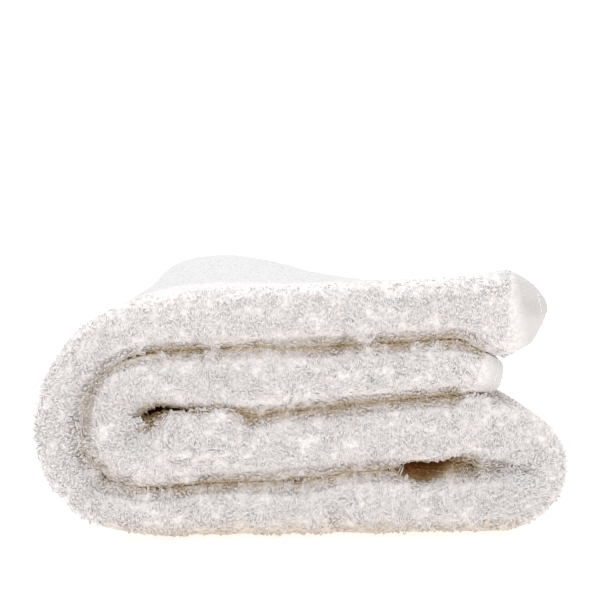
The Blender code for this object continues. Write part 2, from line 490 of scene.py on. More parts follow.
def face_normals(points, outside):
    """Unit normals of a grid of points, on the side given by another grid."""
    along, over = np.gradient(points, axis=0), np.gradient(points, axis=1)
    normals = np.cross(along, over)
    normals /= np.linalg.norm(normals, axis=-1)[..., None] + 1e-12
    return normals * np.sign(np.sum(normals * outside, axis=-1))[..., None]


outward = face_normals(outer, outer - inner)
showing = np.zeros(outer.shape[:2])
showing[:, :BACK_FOLD_END] = 1
showing *= ramp(from_end, 0, HEM_SMOOTH)
outer += outward * (showing * (lumps_at(outer) - hand_creases(outer, line_y)))[..., None]
outer[..., 2] = np.maximum(outer[..., 2], OUTER_LOWEST)
inner[..., 2] = np.maximum(inner[..., 2], INNER_LOWEST)
outward = face_normals(outer, outer - inner)
print("Outer face:", outer.shape[0], "by", outer.shape[1], "points")

# %% [markdown]
# ## How much room each place has
# Along most of the winding two layers lie close together, but inside the bends the cloth stands
# free. A ray sent out from each point of the cloth measures how far the next layer is. Where there is
# room, the cloth bellies out into the hollow bends, as the soft inner plies of a real towel do. A table
# says where and how much, in millimetres: up is the side that swells, share how much of the room it
# takes, and start and full the depths behind the front between which it grows.

# %% Measure the clearance and belly out into the bends
FARTHEST = 60 * MM
SKIN = 0.6 * MM
Belly = namedtuple("Belly", "x_from x_to z_from z_to up share start full")
BELLIES = table(Belly, [
    (118, 170, 15, 48, 1, 0.55, 2, 15), (118, 170, 48, 66, -1, 0.30, 2, 15),
    (94, 118, 20, 50, 1, 0.85, 9, 32), (60, 94, 20, 50, 1, 0.70, 16, 44),
    (-130, -99, 60, 94, 1, 0.68, 4, 20), (-99, -46, 60, 86, 1, 0.85, 1, 12),
    (-135, -100, 80, 112, -1, 0.26, 5, 18), (-100, -80, 84, 110, -1, 0.20, 8, 30),
])
FACING_AWAY = -0.1
ROOM_KEPT = 1.5 * PILE
DEEPEST_BELLY = 22 * MM
BELLY_SOFTNESS = 9 * MM
BELLY_ENDS = (145 * MM, 165 * MM)
ring_count, point_count = outer.shape[:2]
index = np.arange(ring_count * point_count).reshape(ring_count, point_count)


def quads(a, b, c, d):
    return np.stack([a.ravel(), b.ravel(), c.ravel(), d.ravel()], axis=1)


outer_faces = quads(index[:-1, :-1], index[1:, :-1], index[1:, 1:], index[:-1, 1:])


def tree_of(points):
    """The outer face as a tree that rays can meet."""
    return BVHTree.FromPolygons([Vector(p) for p in points.reshape(-1, 3)], outer_faces.tolist())


def clearance_of(points, normals):
    """How far the next layer of cloth is from each point, up to the farthest."""
    tree = tree_of(points)
    room = np.full(points.shape[:2], FARTHEST)
    for i in range(ring_count):
        for j in range(BACK_FOLD_END):
            direction = Vector(normals[i, j])
            hit = tree.ray_cast(Vector(points[i, j]) + direction * SKIN, direction, FARTHEST)
            if hit[0] is not None:
                room[i, j] = hit[3]
    return room


def window(values, low, high):
    """A soft window: 1 between two values, 0 well outside them."""
    soft = BELLY_SOFTNESS
    entered = ramp(values, low * MM - soft, low * MM + soft)
    left = ramp(values, high * MM - soft, high * MM + soft)
    return entered * (1 - left)


def between(values, low, high):
    return (values > low * MM) & (values < high * MM)


room = clearance_of(outer, outward)
swelling = np.zeros_like(room)
for row in BELLIES:
    facing = (outward[..., 2] * row.up > FACING_AWAY) & between(outer[..., 2], row.z_from, row.z_to)
    growth = ramp(line_y, row.start * MM, row.full * MM)
    swelling += facing * window(outer[..., 0], row.x_from, row.x_to) * growth * row.share
swelling *= np.clip(room - ROOM_KEPT, 0, DEEPEST_BELLY) * (rings_at[:, None] > RUN_ENDS["outer_fold"])
swelling *= 1 - ramp(line_y, *BELLY_ENDS)
outer += outward * swelling[..., None]
outward = face_normals(outer, outer - inner)
room = clearance_of(outer, outward)

# %% [markdown]
# Where two layers lie on each other the pile is squeezed flat, so the two grounds nearly meet. Only
# the mouth of each gap stays open, as a shallow groove, and so do the two hollows that the photograph
# shows. In the left bend the groove is shallower.

# %% Squeeze the layers together
SQUEEZED_DEPTHS = (7 * MM, 16 * MM)
SQUEEZED_ROOMS = (16 * MM, 23 * MM)
SQUEEZED_SHARE = 0.475
SQUEEZED_FROM_END = 14 * MM
LEFT_BEND = (-150 * MM, -110 * MM)
NEARER_AT_BEND = 4 * MM
Hollow = namedtuple("Hollow", "x_from x_to z_from z_to")
HOLLOWS = [Hollow(66, 104, 28, 62), Hollow(-124, -70, 68, 102)]
nearer = NEARER_AT_BEND * (1 - ramp(outer[..., 0], *LEFT_BEND))
squeezed = ramp(line_y + nearer, *SQUEEZED_DEPTHS) * (1 - ramp(room, *SQUEEZED_ROOMS))
squeezed *= ramp(from_end, 0, SQUEEZED_FROM_END)
for row in HOLLOWS:
    squeezed *= 1 - between(outer[..., 2], row.z_from, row.z_to) * window(outer[..., 0], row.x_from, row.x_to)
outer += outward * (squeezed * SQUEEZED_SHARE * room)[..., None]
outward = face_normals(outer, outer - inner)
room = clearance_of(outer, outward)
print("Clearance, middle value in millimetres:", round(float(np.median(room[:, :BACK_FOLD_END])) * 1000, 1))

# %% [markdown]
# One ray tells how wide a gap is, but not how dark. For that, rays go out from each point in many
# directions over its half of the sky, and the share of them that meets cloth says how shut in the
# point is: 0 on the open top, 1 deep between two layers.

# %% Measure how shut in each place is
SKY_DIRECTIONS = 44
LOWEST_RAY = 0.12
NEAR_SKIN = 0.3 * MM
SHUT_BLUR = 2
steps = np.arange(SKY_DIRECTIONS)
sky_turn = math.pi * (3 - math.sqrt(5)) * steps
sky_z = 1 - (2 * steps + 1) / SKY_DIRECTIONS
sky_flat = np.sqrt(1 - sky_z**2)
sky = np.stack([sky_flat * np.cos(sky_turn), sky_flat * np.sin(sky_turn), sky_z], axis=1)


def shut_in(points, normals):
    """The share of each point's half of the sky in which cloth is near."""
    tree = tree_of(points)
    rays = [Vector(direction) for direction in sky]
    share = np.ones(points.shape[:2])
    for i in range(ring_count):
        facing = normals[i, :BACK_FOLD_END] @ sky.T
        starts = points[i, :BACK_FOLD_END] + normals[i, :BACK_FOLD_END] * NEAR_SKIN
        for j, (start, towards) in enumerate(zip(starts, facing)):
            used = np.flatnonzero(towards > LOWEST_RAY)
            origin = Vector(start)
            blocked = [towards[k] for k in used if tree.ray_cast(origin, rays[k], FARTHEST)[0] is not None]
            share[i, j] = sum(blocked) / towards[used].sum()
    return share


def box_blur(grid, reach):
    """A grid averaged over neighbours up to this many steps away, both ways."""
    width = 2 * reach + 1
    for axis in (0, 1):
        pad = [(reach, reach) if k == axis else (0, 0) for k in (0, 1)]
        padded, rows = np.pad(grid, pad, mode="edge"), np.arange(grid.shape[axis])
        grid = sum(np.take(padded, rows + k, axis=axis) for k in range(width)) / width
    return grid


shut = box_blur(shut_in(outer, outward), SHUT_BLUR)
print("Shut-in share, middle value:", round(float(np.median(shut[:, :BACK_FOLD_END])), 2))

# %% [markdown]
# ## One finish for yarn and ground
# Undyed cotton is a warm white. Light that bounces many times between the plies would pick that warmth
# up, so the seams are painted ochre and the deep hollows brown: painted shade. A point attribute holds
# how much of this painted shade, and of a painted reflection along the floor, each point gets, and the
# finish mixes over ochre to brown by it. A second one marks pile that lies flat and paints it a little
# greyer, also painted shade. A soft sheen stands for the fine fibres at the yarn's edge.

# %% Make the terry finishes
WHITE_COTTON = (0.86, 0.822, 0.814, 1.0)
SHADED_COTTON = (0.84, 0.798, 0.787, 1.0)
# The ground is a little darker than the yarn: painted shade for cloth that lies between the loops.
GROUND_COTTON = (0.84, 0.803, 0.795, 1.0)
GROUND_SHADE = (0.81, 0.772, 0.762, 1.0)
# Painted shade for the crevices between the loops' roots on the ground.
ROOT_CREVICE_PAINTED_SHADE = (0.83, 0.82, 0.815, 1.0)
# Painted shade: the hem is painted much greyer than the cloth's own white, as dim as the shaded pile.
HEM_PAINTED_SHADE = (0.62, 0.595, 0.585, 1.0)
# Painted shade: the pressed pile on top is painted greyer than the cloth's own white.
PRESSED_PAINTED_SHADE = (0.675, 0.668, 0.67, 1.0)
# Painted shade: ochre for the seams and brown for the deep hollows, standing in for light bounced between the
# plies.
OCHRE_PAINTED_SHADE = (0.56, 0.41, 0.22, 1.0)
BROWN_PAINTED_SHADE = (0.66, 0.32, 0.10, 1.0)
COTTON_ROUGHNESS = 0.95
COTTON_SHEEN = 0.06
LIGHT_THROUGH = 0.5
LIGHT_THROUGH_RADIUS = (1.0, 0.85, 0.75)
LIGHT_THROUGH_SCALE = 0.6 * MM
MOTTLE_SHARES = (0.3, 0.6)
OCHRE_UNTIL = 0.5


def add_node(material, kind, inputs, **settings):
    """A new node with these settings, its inputs given values or linked to sockets."""
    node = material.node_tree.nodes.new(kind)
    for key, value in settings.items():
        setattr(node, key, value)
    set_inputs(material, node, inputs)
    return node


def mix(material, share, first, second, blend="MIX"):
    """A colour between two others."""
    inputs = {"Factor": share, "A": first, "B": second}
    return add_node(material, "ShaderNodeMix", inputs, data_type="RGBA", blend_type=blend).outputs["Result"]


def share_of(material, value, start, end):
    """How far a value has come from start to end, from 0 to 1."""
    inputs = {"Value": value, "From Min": start, "From Max": end}
    return add_node(material, "ShaderNodeMapRange", inputs).outputs["Result"]


def attribute(material, name):
    return add_node(material, "ShaderNodeAttribute", {}, attribute_name=name).outputs["Fac"]


def mix_towards(material, colour, target, name, start, end):
    """The colour mixed towards a target while a point attribute goes from start to end."""
    return mix(material, share_of(material, attribute(material, name), start, end), colour, target)


def fine_noise(material, place, size, detail):
    inputs = {"Vector": place, "Scale": 1 / size, "Detail": detail}
    return add_node(material, "ShaderNodeTexNoise", inputs).outputs["Fac"]


def cotton(name, shade, light, through, mottle_size, bump_size, bump_height):
    """A cotton finish: mottled white, painted shade of grey, ochre and brown, and a fine bump."""
    material = bpy.data.materials.new(name)
    material.use_nodes = True
    place = add_node(material, "ShaderNodeTexCoord", {}).outputs["Object"]
    mottle = fine_noise(material, place, mottle_size, 3)
    colour = mix(material, share_of(material, mottle, *MOTTLE_SHARES), shade, light)
    # Painted shade: greyer where the pile is pressed.
    colour = mix_towards(material, colour, PRESSED_PAINTED_SHADE, "pressed", 0, 1)
    # Painted shade: ochre in the seams, then brown in the deep hollows.
    colour = mix_towards(material, colour, OCHRE_PAINTED_SHADE, "warmth", 0, OCHRE_UNTIL)
    colour = mix_towards(material, colour, BROWN_PAINTED_SHADE, "warmth", OCHRE_UNTIL, 1)
    grain = fine_noise(material, place, bump_size, 2)
    bump = add_node(material, "ShaderNodeBump", {"Distance": bump_height, "Height": grain})
    set_inputs(material, material.node_tree.nodes["Principled BSDF"], {
        "Base Color": colour,
        "Normal": bump.outputs["Normal"],
        "Roughness": COTTON_ROUGHNESS,
        "Sheen Weight": COTTON_SHEEN,
        "Sheen Roughness": 0.5,
        "Specular IOR Level": 0.2,
        "Subsurface Weight": through,
        "Subsurface Radius": LIGHT_THROUGH_RADIUS,
        "Subsurface Scale": LIGHT_THROUGH_SCALE,
    })
    return material


# %% [markdown]
# The ground gets two things more. Between the larger loops of the sides and the back, small cells
# stand for the loops' roots: light, with painted shade at their edges for the crevices between them.
# And where the hem is turned, its weft puckers into fine ridges that run along the towel. They follow
# the cloth's own coordinates, so they need its UV map: u along the towel and v across it.

# %% Give the ground loop roots and a hem
ROOT_SPACING = 2.1 * MM
ROOT_EDGES = (0.35, 0.75)
RIDGE_SPACING = 2.6 * MM
RIDGE_HEIGHT = 0.7 * MM
WAVES_PER_UNIT = 20 / (2 * math.pi)


def what_feeds(material, name):
    """The shader of a finish, and the socket that is linked to one of its inputs."""
    shader = material.node_tree.nodes["Principled BSDF"]
    return shader, shader.inputs[name].links[0].from_socket


def add_loop_roots(material):
    """Small cells on the ground with painted shade at their edges, as rows of loops look from afar."""
    place = add_node(material, "ShaderNodeTexCoord", {}).outputs["Object"]
    cells = {"Vector": place, "Scale": 1 / ROOT_SPACING, "Smoothness": 0.2}
    cells = add_node(material, "ShaderNodeTexVoronoi", cells, feature="SMOOTH_F1")
    # Painted shade: the cells' edges darken the ground's colour.
    edges = share_of(material, cells.outputs["Distance"], *ROOT_EDGES)
    shader, colour = what_feeds(material, "Base Color")
    set_inputs(material, shader, {"Base Color": mix(material, edges, colour, ROOT_CREVICE_PAINTED_SHADE, "MULTIPLY")})


def add_hem(material):
    """The hem's colour, a painted shade, and its puckered ridges, from the attributes hem and ridged."""
    shader, woven = what_feeds(material, "Base Color")
    # Painted shade: the hem's band is mixed towards grey.
    colour = mix_towards(material, woven, HEM_PAINTED_SHADE, "hem", 0, 1)
    cloth_map = add_node(material, "ShaderNodeTexCoord", {}).outputs["UV"]
    scale = CLOTH_WIDTH / RIDGE_SPACING / WAVES_PER_UNIT
    ridges = {"Vector": cloth_map, "Scale": scale, "Distortion": 3.0, "Detail": 1.0, "Detail Scale": 0.6}
    ridges = add_node(material, "ShaderNodeTexWave", ridges, bands_direction="Y").outputs["Fac"]
    shader, grain = what_feeds(material, "Normal")
    strength = attribute(material, "ridged")
    puckers = {"Strength": strength, "Distance": RIDGE_HEIGHT, "Height": ridges, "Normal": grain}
    puckers = add_node(material, "ShaderNodeBump", puckers)
    set_inputs(material, shader, {"Base Color": colour, "Normal": puckers.outputs["Normal"]})


ground_finish = cotton("terry_ground", GROUND_SHADE, GROUND_COTTON, 0.0, 9 * MM, 0.6 * MM, 0.2 * MM)
add_loop_roots(ground_finish)
add_hem(ground_finish)
yarn_finish = cotton("terry_yarn", SHADED_COTTON, WHITE_COTTON, LIGHT_THROUGH, 5 * MM, 0.5 * MM, 0.15 * MM)
print("Finishes:", [finish.name for finish in (ground_finish, yarn_finish)])

# %% [markdown]
# ## From arrays to a mesh
# Blender takes a mesh fastest as flat lists of numbers. This helper sets points, faces and any point
# attributes in one go, shades it smooth and hands the piece to the towel's only body.

# %% Make a mesh piece
def make_piece(name, points, faces, finish, **attributes):
    """A smooth mesh piece from points and faces that all have the same number of corners."""
    mesh = bpy.data.meshes.new(name)
    corners = faces.shape[1]
    mesh.vertices.add(len(points))
    mesh.vertices.foreach_set("co", points.astype(np.float32).ravel())
    mesh.loops.add(faces.size)
    mesh.loops.foreach_set("vertex_index", faces.astype(np.int32).ravel())
    mesh.polygons.add(len(faces))
    mesh.polygons.foreach_set("loop_start", np.arange(len(faces), dtype=np.int32) * corners)
    mesh.update(calc_edges=True)
    for key, values in attributes.items():
        layer = mesh.attributes.new(key, "FLOAT", "POINT")
        layer.data.foreach_set("value", np.broadcast_to(values, len(points)).astype(np.float32))
    mesh.shade_smooth()
    mesh.materials.append(finish)
    piece = bpy.data.objects.new(name, mesh)
    scene.collection.objects.link(piece)
    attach(piece, "root")
    print(name, "triangles:", len(faces) * (corners - 2))
    return piece


# %% [markdown]
# ## Which faces look into a gap
# Painted shade follows the share of the sky that is shut. How much of it a seam or a hollow gets also
# depends on X, and a short table says so: most in the middle and the right hollow, none at the open
# right end. It fades towards the back, faces that hang over get less, and the edge at the floor is
# painted with some of the floor's peach glow, a painted reflection. On top, behind the plump front
# fold, the pile has been pressed by hand; it lies flatter there and is painted a little greyer, as
# painted shade. Ridges show where the hem is drawn tight: along its top and back.

# %% How much painted shade, pressing and ridges each point has
SEAM_SHUT = (0.40, 0.74)
HOLLOW_SHUT = (0.62, 0.94)
HOLLOW_DEPTHS = (14 * MM, 34 * MM)
COOL_DEPTHS = (70 * MM, 110 * MM)
PAINTED_FLOOR_REFLECTION = 0.2
BOTTOM_HEIGHTS = (5 * MM, 17 * MM)
OVERHANG_COOLER = 0.14
OVERHANG_SLOPES = (0.2, 0.7)
OVERHANG_DEPTHS = (8 * MM, 18 * MM)
BOTTOM_DEPTHS = (20 * MM, 40 * MM)
PaintedShadeAtX = namedtuple("PaintedShadeAtX", "x seam hollow")
PAINTED_SHADE_BY_X = table(PaintedShadeAtX, [
    (-180, 0.35, 0.2), (-130, 0.4, 0.3), (-112, 0.9, 0.7), (-95, 0.95, 0.7), (-50, 1.0, 0.5),
    (0, 1.0, 0.8), (60, 1.0, 1.0), (106, 1.0, 0.9), (130, 0.4, 0.3), (146, 0.03, 0.03),
])
INSIDE_PAINTED_SHADE = 0.03
# Pressed pile on top: its loops lie flatter and the same share paints it greyer, as painted shade.
PRESSED_AND_SHADED_DEPTHS = (36 * MM, 58 * MM)
PRESSED_AND_SHADED_PAST_RUN = (25 * MM, 75 * MM)
FLATTER_AND_SHADED_DEPTHS = (12 * MM, 24 * MM)
FLATTER_AND_SHADED_NEAR_FRONT = 0.35
RIDGED_HEIGHTS = (150 * MM, 160 * MM)
RIDGED_DEPTHS = (24 * MM, 40 * MM)
FAINT_RIDGES = 0.2

# Painted shade in the seams and hollows, ochre to brown, from how shut in each point is.
warm_x = [row.x * MM for row in PAINTED_SHADE_BY_X]
seam_painted_shade = np.interp(outer[..., 0], warm_x, [row.seam for row in PAINTED_SHADE_BY_X])
hollow_painted_shade = np.interp(outer[..., 0], warm_x, [row.hollow for row in PAINTED_SHADE_BY_X])
overhang = ramp(-outward[..., 2], *OVERHANG_SLOPES) * (1 - ramp(line_y, *OVERHANG_DEPTHS))
warmth = OCHRE_UNTIL * seam_painted_shade * ramp(shut - OVERHANG_COOLER * overhang, *SEAM_SHUT)
warmth += (1 - OCHRE_UNTIL) * hollow_painted_shade * ramp(shut, *HOLLOW_SHUT) * ramp(line_y, *HOLLOW_DEPTHS)
warmth *= 1 - (1 - INSIDE_PAINTED_SHADE) * ramp(line_y, *COOL_DEPTHS)
# A painted reflection of the floor's peach glow along the bottom edge at the front.
at_bottom = (1 - ramp(outer[..., 2], *BOTTOM_HEIGHTS)) * (1 - ramp(line_y, *BOTTOM_DEPTHS))
warmth = np.maximum(warmth, PAINTED_FLOOR_REFLECTION * at_bottom)
# The inner faces get only a trace of the painted shade.
warmth[:, BACK_FOLD_END:] = INSIDE_PAINTED_SHADE
on_top = 1 - ramp(grid_at - RUN_ENDS["top_run"], *PRESSED_AND_SHADED_PAST_RUN)
# The share of pressing: flatter loops, and painted shade that greys the colour; less near the front.
pressed = np.maximum(ramp(line_y, *PRESSED_AND_SHADED_DEPTHS), FLATTER_AND_SHADED_NEAR_FRONT * ramp(line_y, *FLATTER_AND_SHADED_DEPTHS))
pressed *= on_top * (line_n > 0)
tight = np.maximum(ramp(line_y, *RIDGED_DEPTHS), ramp(outer[..., 2], *RIDGED_HEIGHTS))
ridged = in_hem * (FAINT_RIDGES + (1 - FAINT_RIDGES) * tight)
print("Warm share of the points:", round(float((warmth[:, :BACK_FOLD_END] > 0.25).mean()), 2))

# %% [markdown]
# The outer and the inner face are joined along all four edges, so the cloth is one closed sheet.

# %% Join the faces into one closed cloth
points = np.concatenate([outer.reshape(-1, 3), inner.reshape(-1, 3)])
other = index + ring_count * point_count
faces = np.concatenate([
    outer_faces,
    quads(other[:-1, :-1], other[:-1, 1:], other[1:, 1:], other[1:, :-1]),
    quads(index[:-1, 0], other[:-1, 0], other[1:, 0], index[1:, 0]),
    quads(index[:-1, -1], index[1:, -1], other[1:, -1], other[:-1, -1]),
    quads(index[0, :-1], index[0, 1:], other[0, 1:], other[0, :-1]),
    quads(index[-1, :-1], other[-1, :-1], other[-1, 1:], index[-1, 1:]),
])
SHADES = {"warmth": warmth, "hem": in_hem, "ridged": ridged, "pressed": pressed}
both_faces = {key: np.tile(grid.ravel(), 2) for key, grid in SHADES.items()}
ground = make_piece("towel_cloth", points, faces, ground_finish, **both_faces)
cloth_u, cloth_v = grid_at / PATH_LENGTH, across / across[:, -1:]
cloth_uv = np.tile(np.stack([cloth_u, cloth_v], axis=-1).reshape(-1, 2), (2, 1))
corner_uv = cloth_uv[faces.ravel()].astype(np.float32).ravel()
ground.data.uv_layers.new(name="cloth").data.foreach_set("uv", corner_uv)
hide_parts("towel")

# %% [markdown]
# ## Rows of loops
# A loom lays terry loops in rows across the cloth. So the loops are set out ring by ring, a few
# millimetres apart, each a little out of line. Every loop is wanted on the front, where the camera
# looks. On the top, the sides and the back fewer and larger ones do, and where a place is shut in
# all round nobody sees any. Each region says how full it is, how long and thick its loops are, and how
# upright. Next to a hem the loops thin out.

# %% Where the loops stand
ROW_PITCH = 2.1 * MM
JITTER = 0.42
SELVEDGE_BARE = 5 * MM
FRONT_DEPTH = 26 * MM
BACK_EDGE_DEPTH = 24 * MM
ON_FLOOR = 6 * MM
OPEN_BELOW = 0.4
HIDDEN_ABOVE = 0.93
FACING_FLOOR = -0.9
Region = namedtuple("Region", "full reach girth lift")
FRONT = Region(1.0, 1.0, 1.0, 1.0)
OPEN_FACE = Region(0.33, 1.0, 1.3, 0.6)
UNDERSIDE = Region(0.04, 1.0, 1.4, 0.3)
IN_GAP = Region(0.28, 1.05, 1.25, 1.0)
BACK_EDGE = Region(0.36, 0.8, 1.2, 0.7)
HIDDEN = Region(0.0, 1.0, 1.0, 1.0)
rng = np.random.default_rng(11)


def region_of(y, shut, where, normal):
    """How full each place is with loops, how large they are there and how upright."""
    chosen = np.zeros((len(y), len(HIDDEN)))
    chosen[:] = IN_GAP
    chosen[y > STRIP_DEPTH - BACK_EDGE_DEPTH] = BACK_EDGE
    chosen[shut < OPEN_BELOW] = OPEN_FACE
    chosen[(normal[:, 2] < FACING_FLOOR) & (where[:, 2] < ON_FLOOR)] = UNDERSIDE
    chosen[y < FRONT_DEPTH] = FRONT
    chosen[shut > HIDDEN_ABOVE] = HIDDEN
    return chosen


def blend_rings(grid, at):
    """A grid of values read between its rings."""
    i = np.clip(np.searchsorted(rings_at, at) - 1, 0, ring_count - 2)
    share = (at - rings_at[i]) / (rings_at[i + 1] - rings_at[i])
    return grid[i] * (1 - share) + grid[i + 1] * share


def travelled_along(line):
    """How far along a line of points each of them lies."""
    return np.concatenate([[0], np.cumsum(np.linalg.norm(np.diff(line, axis=0), axis=1))])


def read_row(row, j):
    """Values of one row at fractional positions across it."""
    low = np.clip(j.astype(int), 0, len(row) - 2)
    share = (j - low).reshape(-1, *([1] * (row.ndim - 1)))
    return row[low] * (1 - share) + row[low + 1] * share


Spots = namedtuple("Spots", "place normal y side shut warmth pressed over region at near_hem")
GRIDS = {
    "place": outer, "normal": outward, "y": line_y, "side": line_n,
    "shut": shut, "warmth": warmth, "pressed": pressed,
}
HEM_THINNING = 12 * MM
FRONT_THINNED = 0.8
REST_THINNED = 1.2
kept = []
for at in np.arange(OUTER_HEM_ON_TOP, PATH_LENGTH - INNER_HEM, ROW_PITCH):
    jittered = at + rng.uniform(-JITTER, JITTER) * ROW_PITCH * 0.5
    row = {key: blend_rings(grid, jittered)[:BACK_FOLD_END] for key, grid in GRIDS.items()}
    row["over"] = np.gradient(row["place"], axis=0)
    travelled = travelled_along(row["place"])
    stops = np.arange(SELVEDGE_BARE, travelled[-1], ROW_PITCH)
    stops = stops + rng.uniform(-JITTER, JITTER, len(stops)) * ROW_PITCH
    j = np.interp(stops, travelled, np.arange(len(travelled)))
    found = {key: read_row(values, j) for key, values in row.items()}
    found["region"] = region_of(found["y"], found["shut"], found["place"], found["normal"])
    found["at"] = np.full(len(j), jittered)
    to_hem = min(jittered, PATH_LENGTH - jittered) - hem_width(found["at"], found["y"])
    found["near_hem"] = 1 - ramp(to_hem, 0, HEM_THINNING)
    found["pressed"] = found["pressed"] * (1 - found["near_hem"])
    thinned = np.where(found["y"] < FRONT_DEPTH, FRONT_THINNED, REST_THINNED) * found["near_hem"]
    keep = (rng.random(len(j)) < found["region"][:, 0] * (1 - thinned)) & (to_hem > 0)
    kept.append({key: values[keep] for key, values in found.items()})
spots = Spots(**{key: np.concatenate([row[key] for row in kept]) for key in kept[0]})
unit_normal, unit_over = unit(spots.normal), unit(spots.over)
unit_along = np.cross(unit_normal, unit_over)
print("Loops:", len(spots.at))

# %% [markdown]
# Here and there a loop has been pulled longer than its neighbours. The photograph shows a few on the
# front, so a short table has them, by X and height in millimetres.

# %% Choose the pulled loops
Pulled = namedtuple("Pulled", "x z longer")
PULLED_LOOPS = table(Pulled, [
    (-36, 122, 1.7), (31, 132, 1.5), (36, 129, 1.6), (110, 120, 1.6), (102, 92, 1.7), (62, 48, 1.8),
    (66, 43, 1.7), (-100, 84, 1.6),
])
PULLED_DEPTH = 14 * MM
front_spots = np.flatnonzero(spots.y < PULLED_DEPTH)
pulled = np.ones(len(spots.at))
for row in PULLED_LOOPS:
    away = np.hypot(spots.place[front_spots, 0] - row.x * MM, spots.place[front_spots, 2] - row.z * MM)
    pulled[front_spots[np.argmin(away)]] = row.longer
print("Pulled loops:", int((pulled > 1).sum()))

# %% [markdown]
# ## Tubes of yarn
# Loops and stitches are both thin tubes that follow a line, so they share three helpers. One makes the
# triangles of a tube, one puts a ring of points round each joint of a line, and one repeats the
# triangles for thousands of tubes at once.

# %% Make tubes
def tube_faces(joints, sides):
    """Triangles of one closed tube of joints, each with the same number of sides."""
    joint, side = np.arange(joints - 1)[:, None], np.arange(sides)
    near, far = joint * sides, (joint + 1) * sides
    after = (side + 1) % sides
    squares = np.stack([near + side, near + after, far + after, far + side], axis=-1).reshape(-1, 4)
    fans = [[0, k + 1, k] for k in range(1, sides - 1)]
    ends = np.array(fans + [[(joints - 1) * sides + k for k in reversed(fan)] for fan in fans])
    return np.concatenate([squares[:, [0, 1, 2]], squares[:, [0, 2, 3]], ends])


def tube_points(lines, up, radius, sides):
    """Rings of points round lines: one line for each tube, and its radius."""
    ahead = unit(np.gradient(lines, axis=1))
    first = unit(np.cross(ahead, up))
    second = np.cross(ahead, first)
    rings = []
    for side in range(sides):
        angle = 2 * math.pi * side / sides
        rings.append(lines + (first * math.cos(angle) + second * math.sin(angle)) * radius)
    return np.stack(rings, axis=2)


def repeat_faces(one, count, size):
    """The faces of one small piece, for many copies that have size points each."""
    return (one[None] + (np.arange(count) * size)[:, None, None]).reshape(-1, one.shape[1])


print("Triangles of a tube of five joints and three sides:", len(tube_faces(5, 3)))

# %% [markdown]
# ## The shape of one loop
# A terry loop is a short length of soft yarn that comes up out of the ground, bends over and goes back
# beside itself, so from above it is a narrow U. Neighbours lean alike, because the pile has been
# stroked, and noise gives them that common direction. In the seams they lean out of the gap. They lie
# flatter on the top, the sides and the undersides, and next to a hem they are also shorter. Each U is
# a tube of three sides and five joints, cheap enough for tens of thousands, and smooth shading rounds
# it.

# %% Grow the loops
LOOP_REACH = 5.4 * MM
LOOP_SPREAD = 1.9 * MM
YARN_RADIUS = 0.52 * MM
ROOT_SINK = 0.9 * MM
LEAN_ANGLE = (16, 42)
LOWER_FLATTER = 0.5
LOWER_SLOPES = (-0.7, 0.0)
PRESSED_FLATTER = 0.5
STROKED_FLATTER = 0.68
STROKED_SLOPES = (0.3, 0.75)
SIDEWAYS_SLOPES = (0.25, 0.6)
STROKED_SHUT = (0.15, 0.4)
SWIRL_SIZE = 18 * MM
SWIRL_DEGREES = 52
COMBED_AT_BEND = 0.7
SCATTER_DEGREES = 15
PARTING = 0.55
CURL = 1.5 * MM
CURL_SIZE = 7 * MM
SEAM_LEAN_SHUT = (0.45, 0.75)
SHORTER_AT_HEM = 0.25
REST_SHORTER_AT_HEM = 0.85
FLATTER_AT_HEM = 0.8
LEAN_NOISE, PARTING_NOISE, CURL_NOISE = 5.0, 40.0, 80.0
CURL_FROM_NOISE = 2.5
CURL_SCATTER = 0.35
REACH_SPREAD = (0.75, 1.2)
WIDTH_SPREAD = (0.5, 1.15)
RADIUS_SPREAD = (0.85, 1.15)
DEEPEST_DROOP = 1.4 * MM
GIRTH_TO_RADIUS = 0.8
BEND_POWER = 0.6
JOINTS = 5
SIDES = 3
LOWEST_YARN = 0.4 * MM


def swirl(points, offset, size=SWIRL_SIZE):
    shifted = points / size + offset
    return np.array([noise.noise(Vector(p)) for p in shifted])


count = len(spots.at)
combed = 1 - COMBED_AT_BEND * (1 - ramp(spots.place[:, 0], *LEFT_BEND))
swirled = SWIRL_DEGREES * 2 * combed * swirl(spots.place, LEAN_NOISE)
heading = np.radians(swirled + rng.normal(0, SCATTER_DEGREES, count))
flipped = swirl(spots.place, PARTING_NOISE) + rng.normal(0, PARTING, count) > 0
in_seam = ramp(spots.shut, *SEAM_LEAN_SHUT) > rng.random(count)
flipped = np.where(in_seam, spots.side < 0, flipped)
heading += np.where(flipped, math.pi, 0)
lean_way = unit_over * np.cos(heading)[:, None] + unit_along * np.sin(heading)[:, None]
facing_down = 1 - ramp(unit_normal[:, 2], *LOWER_SLOPES)
facing_up = ramp(unit_normal[:, 2], *STROKED_SLOPES)
stroked = np.maximum(facing_up, 1 - ramp(abs(unit_normal[:, 1]), *SIDEWAYS_SLOPES))
stroked *= 1 - ramp(spots.shut, *STROKED_SHUT)
_, reach_scale, girth, upright = spots.region.T
lift = np.radians(rng.uniform(*LEAN_ANGLE, count)) * upright
lift *= (1 - PRESSED_FLATTER * spots.pressed) * (1 - STROKED_FLATTER * stroked)
lift *= (1 - LOWER_FLATTER * facing_down) * (1 - FLATTER_AT_HEM * spots.near_hem)
out_way = lean_way * np.cos(lift)[:, None] + unit_normal * np.sin(lift)[:, None]
wide_way = unit(np.cross(out_way, unit_normal))
plane_way = np.cross(out_way, wide_way)
reach = LOOP_REACH * reach_scale * pulled * rng.uniform(*REACH_SPREAD, count)
reach *= 1 - np.where(spots.y < FRONT_DEPTH, SHORTER_AT_HEM, REST_SHORTER_AT_HEM) * spots.near_hem
width = LOOP_SPREAD * girth * rng.uniform(*WIDTH_SPREAD, count)
